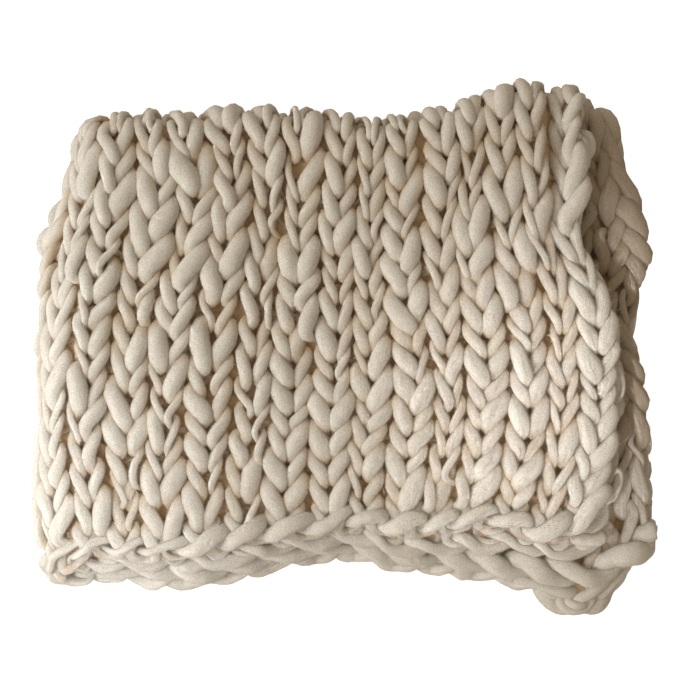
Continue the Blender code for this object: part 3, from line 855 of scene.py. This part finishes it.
# ---------------------------------------------------------------- materials
def wool(name, base, deep, web_look=False):
    material = bpy.data.materials.new(name)
    material.use_nodes = True
    tree = material.node_tree
    nodes, links = tree.nodes, tree.links
    shader = nodes["Principled BSDF"]
    shader.inputs["Roughness"].default_value = 0.95
    shader.inputs["Specular IOR Level"].default_value = 0.12
    shader.inputs["Sheen Weight"].default_value = 0.15
    shader.inputs["Sheen Roughness"].default_value = 0.4
    shader.inputs["Subsurface Weight"].default_value = 0.18
    shader.inputs["Subsurface Radius"].default_value = (0.78, 0.90, 1.0)
    shader.inputs["Subsurface Scale"].default_value = 0.0015
    shader.inputs["Sheen Tint"].default_value = (1.0, 0.98, 0.94, 1.0)

    def node(kind, **values):
        made = nodes.new(kind)
        for key, value in values.items():
            setattr(made, key, value)
        return made

    def maths(operation, a, b=None):
        made = node("ShaderNodeMath", operation=operation)
        for slot, value in enumerate((a, b)):
            if value is None:
                continue
            if isinstance(value, (int, float)):
                made.inputs[slot].default_value = value
            else:
                links.new(value, made.inputs[slot])
        return made.outputs[0]

    place_node = node("ShaderNodeTexCoord")
    object_place = place_node.outputs["Object"]
    if not web_look:
        uv = node("ShaderNodeUVMap", uv_map="Yarn")
        split = node("ShaderNodeSeparateXYZ")
        links.new(uv.outputs[0], split.inputs[0])
        # fibres lie along the strand and wind round it, once in about 60 mm
        wind = maths("ADD", maths("MULTIPLY", split.outputs[0], 2 * math.pi),
                     maths("MULTIPLY", split.outputs[1], 10.5))
        join = node("ShaderNodeCombineXYZ")
        links.new(maths("MULTIPLY", maths("COSINE", wind), 1.0), join.inputs[0])
        links.new(maths("MULTIPLY", maths("SINE", wind), 1.0), join.inputs[1])
        links.new(maths("MULTIPLY", split.outputs[1], 5.0), join.inputs[2])
        fibre_place = join.outputs[0]
    else:
        fibre_place = object_place
    fibre = node("ShaderNodeTexNoise")
    fibre.inputs["Scale"].default_value = 5.5 if not web_look else 420.0
    fibre.inputs["Detail"].default_value = 4.0
    fibre.inputs["Roughness"].default_value = 0.65
    links.new(fibre_place, fibre.inputs["Vector"])
    fuzz = node("ShaderNodeTexNoise")
    fuzz.inputs["Scale"].default_value = 1500.0
    fuzz.inputs["Detail"].default_value = 1.5
    fuzz.inputs["Roughness"].default_value = 0.5
    links.new(object_place, fuzz.inputs["Vector"])
    patch = node("ShaderNodeTexNoise")
    patch.inputs["Scale"].default_value = 38.0
    patch.inputs["Detail"].default_value = 2.0
    links.new(object_place, patch.inputs["Vector"])

    mixed = maths("ADD", maths("MULTIPLY", fibre.outputs["Fac"], 0.3),
                  maths("ADD", maths("MULTIPLY", fuzz.outputs["Fac"], 0.45),
                        maths("MULTIPLY", patch.outputs["Fac"], 0.25)))
    ramp = node("ShaderNodeValToRGB")
    ramp.color_ramp.elements[0].position = 0.32
    ramp.color_ramp.elements[0].color = (*deep, 1.0)
    ramp.color_ramp.elements[1].position = 0.62
    ramp.color_ramp.elements[1].color = (*base, 1.0)
    links.new(mixed, ramp.inputs[0])
    if web_look:
        links.new(ramp.outputs[0], shader.inputs["Base Color"])
    else:
        # painted shade: yarn near the cloth's middle, in the recesses and on the strands' flanks and undersides, is
        # darkened to a warm brown
        front = node("ShaderNodeAttribute", attribute_name="front")
        depth = node("ShaderNodeMapRange")
        depth.inputs["From Min"].default_value = 6.2
        depth.inputs["From Max"].default_value = 0.6
        links.new(maths("ABSOLUTE", front.outputs["Fac"]), depth.inputs["Value"])
        shade = node("ShaderNodeMix", data_type="RGBA", blend_type="MULTIPLY")
        links.new(depth.outputs[0], shade.inputs["Factor"])
        links.new(ramp.outputs[0], shade.inputs[6])
        shade.inputs[7].default_value = (0.76, 0.60, 0.42, 1.0)
        # fine fleecy grain
        grain = node("ShaderNodeValToRGB")
        grain.color_ramp.elements[0].position = 0.34
        grain.color_ramp.elements[0].color = (0.84, 0.82, 0.79, 1.0)
        grain.color_ramp.elements[1].position = 0.62
        grain.color_ramp.elements[1].color = (1.0, 1.0, 1.0, 1.0)
        links.new(fuzz.outputs["Fac"], grain.inputs[0])
        fleece = node("ShaderNodeMix", data_type="RGBA", blend_type="MULTIPLY")
        fleece.inputs["Factor"].default_value = 1.0
        links.new(shade.outputs[2], fleece.inputs[6])
        links.new(grain.outputs[0], fleece.inputs[7])
        # and painted shadow: the columns under the upper half's edge are darkened
        painted_shadow = node("ShaderNodeAttribute", attribute_name="painted_shadow")
        painted_shadow_mix = node("ShaderNodeMix", data_type="RGBA", blend_type="MULTIPLY")
        links.new(painted_shadow.outputs["Fac"], painted_shadow_mix.inputs["Factor"])
        links.new(fleece.outputs[2], painted_shadow_mix.inputs[6])
        painted_shadow_mix.inputs[7].default_value = (0.65, 0.585, 0.505, 1.0)
        links.new(painted_shadow_mix.outputs[2], shader.inputs["Base Color"])

    bump = node("ShaderNodeBump")
    bump.inputs["Strength"].default_value = 0.4
    bump.inputs["Distance"].default_value = 0.0006
    height = maths("ADD", maths("MULTIPLY", fibre.outputs["Fac"], 0.5),
                   maths("MULTIPLY", fuzz.outputs["Fac"], 1.0))
    links.new(height, bump.inputs["Height"])
    links.new(bump.outputs[0], shader.inputs["Normal"])
    return material


yarn_wool = wool("wool_yarn", (0.87, 0.87, 0.835), (0.78, 0.755, 0.70))
# the web's tan-brown is painted shade: it shows in the gaps between the stitches as their shadow
shaded_web_material = wool("web_painted_shade", (0.78, 0.60, 0.41), (0.57, 0.42, 0.27), web_look=True)

for piece in yarns:
    piece.data.materials.append(yarn_wool)
cloth.data.materials.append(shaded_web_material)
fibre_wool = bpy.data.materials.new("wool_fibre")
fibre_wool.use_nodes = True
fibre_shader = fibre_wool.node_tree.nodes["Principled BSDF"]
fibre_shader.inputs["Roughness"].default_value = 0.8
fibre_shader.inputs["Specular IOR Level"].default_value = 0.2
fibre_shader.inputs["Subsurface Weight"].default_value = 1.0
fibre_shader.inputs["Subsurface Radius"].default_value = (1.0, 1.0, 1.0)
fibre_shader.inputs["Subsurface Scale"].default_value = 0.002
fibre_noise = fibre_wool.node_tree.nodes.new("ShaderNodeTexNoise")
fibre_noise.inputs["Scale"].default_value = 60.0
fibre_ramp = fibre_wool.node_tree.nodes.new("ShaderNodeValToRGB")
fibre_ramp.color_ramp.elements[0].color = (0.80, 0.76, 0.68, 1.0)
fibre_ramp.color_ramp.elements[1].color = (0.93, 0.91, 0.87, 1.0)
fibre_wool.node_tree.links.new(fibre_noise.outputs["Fac"], fibre_ramp.inputs[0])
fibre_wool.node_tree.links.new(fibre_ramp.outputs[0], fibre_shader.inputs["Base Color"])
for piece in fuzz:
    piece.data.materials.append(fibre_wool)
    # a single fibre is too fine and clear to cast a shadow
    piece.visible_shadow = False

for piece in yarns + fuzz + [cloth]:
    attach(piece, "root")
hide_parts("blanket")

# ---------------------------------------------------------------- floor, light, camera
floor_mesh = bpy.data.meshes.new("floor")
floor_mesh.from_pydata([(-4, -4, 0), (4, -4, 0), (4, 4, 0), (-4, 4, 0)], [], [(0, 1, 2, 3)])
floor = bpy.data.objects.new("floor", floor_mesh)
bpy.context.scene.collection.objects.link(floor)
paper = bpy.data.materials.new("paper")
paper.use_nodes = True
paper_nodes, paper_links = paper.node_tree.nodes, paper.node_tree.links
paper_shader = paper_nodes["Principled BSDF"]
paper_shader.inputs["Base Color"].default_value = (0.80, 0.80, 0.80, 1)
paper_shader.inputs["Roughness"].default_value = 0.9
paper_shader.inputs["Emission Color"].default_value = (1, 1, 1, 1)
seen = paper_nodes.new("ShaderNodeLightPath")
glow = paper_nodes.new("ShaderNodeMath")
glow.operation = "MULTIPLY"
glow.inputs[1].default_value = 0.95
paper_links.new(seen.outputs["Is Camera Ray"], glow.inputs[0])
paper_links.new(glow.outputs[0], paper_shader.inputs["Emission Strength"])
floor_mesh.materials.append(paper)

world = bpy.data.worlds.new("studio")
bpy.context.scene.world = world
world.use_nodes = True
world.node_tree.nodes["Background"].inputs[0].default_value = (1.0, 0.81, 0.60, 1)
# the surround is brighter on the left, where the window would be, than on the right
sky_nodes, sky_links = world.node_tree.nodes, world.node_tree.links
sky_way = sky_nodes.new("ShaderNodeTexCoord")
sky_split = sky_nodes.new("ShaderNodeSeparateXYZ")
sky_fall = sky_nodes.new("ShaderNodeMapRange")
sky_fall.inputs["From Min"].default_value = -1.0
sky_fall.inputs["From Max"].default_value = 1.0
sky_fall.inputs["To Min"].default_value = 0.72
sky_fall.inputs["To Max"].default_value = 0.14
sky_links.new(sky_way.outputs["Generated"], sky_split.inputs[0])
sky_links.new(sky_split.outputs[0], sky_fall.inputs["Value"])
sky_links.new(sky_fall.outputs[0], sky_nodes["Background"].inputs[1])


def area_light(name, place, aim, size, power, colour, spread=math.pi):
    data = bpy.data.lights.new(name, "AREA")
    data.shape = "DISK"
    data.size = size
    data.energy = power
    data.color = colour
    data.spread = spread
    light = bpy.data.objects.new(name, data)
    bpy.context.scene.collection.objects.link(light)
    light.location = place
    direction = np.array(aim) - np.array(place)
    from mathutils import Vector
    light.rotation_euler = Vector(direction).to_track_quat("-Z", "Y").to_euler()
    return light


area_light("key", (-1.06, -0.12, 0.92), (0, 0, 0.02), 0.5, 5.6, (0.95, 0.98, 1.0))
area_light("left", (-0.85, -0.2, 0.42), (0, 0, 0.02), 0.3, 0.5, (0.96, 0.985, 1.0))
area_light("edge", (-0.45, -0.22, 1.25), (-0.155, -0.125, 0.03), 0.12, 0.052, (0.97, 0.985, 1.0), 0.24)
area_light("fold", (-0.85, -0.2, 0.42), (-0.17, 0.0, 0.03), 0.2, 0.032, (1.0, 0.99, 0.97), 0.30)
area_light("near", (-0.50, -0.62, 1.12), (0.10, -0.03, 0.045), 0.10, 0.038, (1.0, 0.985, 0.985), 0.16)

scene = bpy.context.scene
scene.view_settings.view_transform = "Standard"
camera_data = bpy.data.cameras.new("camera")
camera_data.sensor_width = 36.0
camera_data.lens = 102.1
camera_data.clip_start = 0.05
camera = bpy.data.objects.new("camera", camera_data)
scene.collection.objects.link(camera)
camera.location = (0.0027, 0.0014, 1.1)
camera.rotation_euler = (0, 0, 0)
scene.camera = camera
